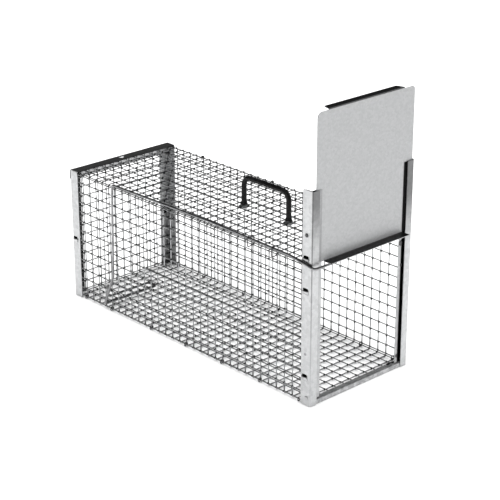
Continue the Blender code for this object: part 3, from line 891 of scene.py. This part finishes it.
def build_trigger():
    """Hook, rod, leg and treadle loop in one bent wire, on the CAD rod's own route."""
    low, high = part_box("trigger_rod")
    rod_x, hook_y, loop_z = low.x + ROD_RADIUS, low.y + ROD_RADIUS, low.z + ROD_RADIUS
    end_x, back_y = high.x - ROD_RADIUS, high.y - ROD_RADIUS
    hook_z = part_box("door_panel")[0].z - ROD_RADIUS - 0.0003
    treadle_y, tail_x = CENTRE.y + TREADLE_Y, CENTRE.x + TREADLE_LEFT
    corners = [
        (CENTRE.x + HOOK_X, hook_y, hook_z),
        (rod_x, hook_y, hook_z),
        *((rod_x, CENTRE.y + y, TOP + rise) for y, rise in (ROD_NECK, ROD_CREST, ROD_BACK)),
        (rod_x, CENTRE.y + LEG_LOW[0], LEG_LOW[1]),
        (rod_x, treadle_y, loop_z),
        (end_x, treadle_y, loop_z),
        (end_x, back_y, loop_z),
        (tail_x, back_y, loop_z),
        (tail_x, back_y, TREADLE_TIP),
    ]
    turns = [ROD_BEND] * len(corners)
    turns[2] = turns[3] = ROD_BOW
    points = rounded_path(corners, turns, steps=10)
    first, last = points[0], points[-1]
    into, out = (points[1] - first).normalized(), (last - points[-2]).normalized()
    points = [first, first + into * 0.0007] + points[1:-1] + [last - out * 0.0007, last]
    radii = [ROD_RADIUS] * len(points)
    radii[0] = radii[-1] = ROD_RADIUS * 0.7
    work = bmesh.new()
    work.verts.layers.float.new("weld")
    tube(work, points, radii, 20)
    obj = object_from("trigger_wire", work, sharp=60)
    finish_piece(obj, ROD_ZINC, "trigger", ["trigger_rod"])


# ---------------------------------------------------------------- handle and rivets


def flat_washer(node):
    low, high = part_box(node)
    wide, tall = (high.x - low.x) / 2, high.z - low.z
    base = Vector(((low.x + high.x) / 2, (low.y + high.y) / 2, low.z))
    bore, edge = 0.003, 0.0003
    rim = [(wide - edge, 0), (wide, edge), (wide, tall - edge), (wide - edge, tall)]
    profile = [(bore, 0), *rim, (bore, tall)]
    finish_piece(turned(f"{node}_ring", profile, base, Z, 40), SMALL_ZINC, "cage", [node])


def build_handle():
    low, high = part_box("handle_bar")
    radius = (high.x - low.x) / 2
    x = (low.x + high.x) / 2
    front, back, grip = low.y + radius, high.y - radius, high.z - radius
    foot = low.z - 0.003
    corners = [(x, front, foot), (x, front, grip), (x, back, grip), (x, back, foot)]
    points = rounded_path(corners, HANDLE_BEND, 14)
    work = bmesh.new()
    tube(work, points, radius, 32)
    bar = object_from("handle_grip_bar", work)
    finish_piece(bar, BLACK, "cage", ["handle_bar"])
    for end in ("front", "back"):
        low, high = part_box(f"handle_foot_{end}")
        wide, tall = (high.x - low.x) / 2, high.z - low.z
        base = Vector(((low.x + high.x) / 2, (low.y + high.y) / 2, low.z))
        rim = [(wide * 0.94, 0), (wide, tall * 0.06), (wide, tall * 0.25), (wide * 0.93, tall * 0.36)]
        neck = [(radius * 1.2, tall * 0.7), (radius * 1.12, tall * 0.96), (radius * 1.06, tall)]
        profile = [(0.004, 0), *rim, *neck, (0.004, tall)]
        collar = turned(f"handle_collar_{end}", profile, base, Z, 40)
        finish_piece(collar, BLACK, "cage", [f"handle_foot_{end}"])
        flat_washer(f"handle_washer_{end}")
        flat_washer(f"handle_backing_{end}")
        low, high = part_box(f"handle_nut_{end}")
        base.z = low.z
        nut(f"handle_hex_{end}", base, (high.y - low.y) / 2, high.z - low.z, [f"handle_nut_{end}"])


def nut(name, base, radius, height, nodes):
    """A hexagon nut with its corners turned off at both faces and the bolt's end standing in it."""
    work = bmesh.new()
    rings = []
    bolt = radius * 0.5
    flat = radius * math.cos(math.pi / 6)
    for level, trimmed in ((0, True), (0.16, False), (0.84, False), (1.0, True)):
        ring = []
        for i in range(24):
            angle = math.tau * i / 24
            reach = flat / math.cos((angle % (math.pi / 3)) - math.pi / 6)
            reach = min(reach, flat * 1.02) if trimmed else reach
            outward = Vector((math.cos(angle), math.sin(angle), 0))
            ring.append(work.verts.new(base + outward * reach + Z * height * level))
        rings.append(ring)
    skin(work, rings)
    body = object_from(name, work, sharp=28)
    finish_piece(body, SMALL_ZINC, "cage", nodes)
    profile = [(bolt * 0.8, -0.0016), (bolt, -0.0012), (bolt, 0.0004), (bolt * 0.5, 0.0005)]
    end = turned(name + "_bolt_end", profile, base, Z, 20)
    finish_piece(end, SMALL_ZINC, "cage")


def weld_lump(name, centre, size, seed):
    """A little run of spilled weld, lumpy and dark."""
    draw = random.Random(seed)
    work = bmesh.new()
    bmesh.ops.create_icosphere(work, subdivisions=3, radius=1)
    for vert in work.verts:
        swell = 1 + draw.uniform(-0.16, 0.16)
        vert.co = centre + Vector([c * s * swell for c, s in zip(vert.co, size)])
    finish_piece(object_from(name, work, sharp=80), RING_ZINC, "cage")


def build_weld_lumps():
    """Plug welds on the right guide, and the spatter where the sill meets its foot."""
    guide_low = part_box("right_door_guide")[0]
    face = guide_low.y - 0.0002
    inner = guide_low.x + 0.0045
    plugs = (
        ("upper", 0, 0.2305, (0.0042, 0.0007, 0.0050)),
        ("lower", 0.0025, 0.190, (0.0022, 0.0007, 0.0034)),
        ("foot", 0, 0.022, (0.0026, 0.0007, 0.0034)),
    )
    for seed, (word, right, height, size) in enumerate(plugs, 11):
        weld_lump(f"guide_weld_{word}", Vector((inner + right, face, height)), size, seed)
    sill_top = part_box("front_sill")[1].z
    for number, (back, left) in enumerate(((0.0045, 0.012), (0.0060, 0.0065), (0.0045, 0.001)), 1):
        place = Vector((guide_low.x - left, guide_low.y + back, sill_top))
        weld_lump(f"sill_spatter_{number}", place, (0.0030, 0.0026, 0.0014), 20 + number)


def build_spot_welds():
    """A dimple on each front post where the guide behind it is spot welded."""
    for side, word in ((-1, "left"), (1, "right")):
        place = at(side * (HALF_W - 0.0002), -HALF_L + SPOT_WELD_Y, SPOT_WELD_Z)
        profile = [(0.001, 0), (0.0026, 0), (0.0024, 0.0004), (0.0012, 0.00025), (0.0002, 0.0002)]
        spot = turned(f"front_{word}_spot_weld", profile, place, X * side, 20)
        finish_piece(spot, ROD_ZINC, "cage")


def build_rivets():
    """Domed rivet heads, each on the face that its CAD head sits on."""
    for side, sign in (("left", -1), ("right", 1)):
        for kind, outward in (("top_bar_rivet", Y), ("guide_rivet", X * sign), ("foot_rivet", X * sign)):
            node = f"{kind}_{side}"
            low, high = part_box(node)
            size = high - low
            tall, radius = min(size), max(size) / 2
            base = (low + high) / 2 - outward * (tall / 2 + 0.0003)
            profile = [(radius * 0.5, 0), (radius, 0), (radius, tall * 0.25)]
            for a in (0.35, 0.7, 1.05, 1.35):
                profile.append((radius * math.cos(a), tall * (0.25 + 0.75 * math.sin(a))))
            profile.append((radius * 0.05, tall))
            head = turned(f"{node}_head", profile, base, outward, 24)
            zinc = SHEET_ZINC if kind == "foot_rivet" else RING_ZINC
            finish_piece(head, zinc, "cage", [node])


# ---------------------------------------------------------------- stage


def area_light(name, place, target, size, power, glossy=True):
    data = bpy.data.lights.new(name, "AREA")
    data.shape = "RECTANGLE"
    data.size, data.size_y = size
    data.energy = power
    light = bpy.data.objects.new(name, data)
    light.location = place
    light.rotation_euler = (Vector(target) - Vector(place)).to_track_quat("-Z", "Y").to_euler()
    light.visible_glossy = glossy
    bpy.context.scene.collection.objects.link(light)


def build_stage():
    """An even white floor under a dim sky: the zinc is bright where it mirrors the floor, dark on top."""
    work = bmesh.new()
    bmesh.ops.create_grid(work, x_segments=8, y_segments=8, size=14)
    floor = object_from("floor", work)
    floor.location.z = -0.0004
    floor.data.materials.append(pale_floor("pale_floor"))
    world = bpy.data.worlds.new("studio")
    world.use_nodes = True
    world.node_tree.nodes["Background"].inputs[0].default_value = (0.5, 0.5, 0.5, 1)
    world.node_tree.nodes["Background"].inputs[1].default_value = 0.14
    bpy.context.scene.world = world
    area_light("overhead", (1.0, 1.2, 5), (1.0, 1.2, 0), (15, 15), 1750, glossy=False)
    area_light("left_window", (-3.4, -0.6, 1.5), (0, 0, 0.2), (2.4, 1.8), 24)
    area_light("front_fill", (0.6, -3.6, 1.3), (0, 0, 0.2), (2.4, 1.6), 10)


def build_camera():
    """The viewing angle, distance and lens found from the cage's corners and its mesh."""
    azimuth, elevation = math.radians(CAMERA_AZIMUTH), math.radians(CAMERA_ELEVATION)
    flat = math.cos(elevation)
    back = Vector((math.sin(azimuth) * flat, -math.cos(azimuth) * flat, math.sin(elevation)))
    data = bpy.data.cameras.new("camera")
    data.sensor_width = 36
    data.lens = CAMERA_LENS
    camera = bpy.data.objects.new("camera", data)
    camera.location = at(*CAMERA_PLACE)
    camera.rotation_euler = (-back).to_track_quat("-Z", "Y").to_euler()
    bpy.context.scene.collection.objects.link(camera)
    bpy.context.scene.camera = camera


bpy.context.scene.view_settings.view_transform = "Standard"
build_posts()
build_hole_shadow()
build_guides()
build_slot_shadow_strips()
build_sill()
build_top_bar()
build_door()
build_mesh()
build_rings()
build_trigger()
build_handle()
build_rivets()
build_weld_lumps()
build_spot_welds()
build_stage()
build_camera()
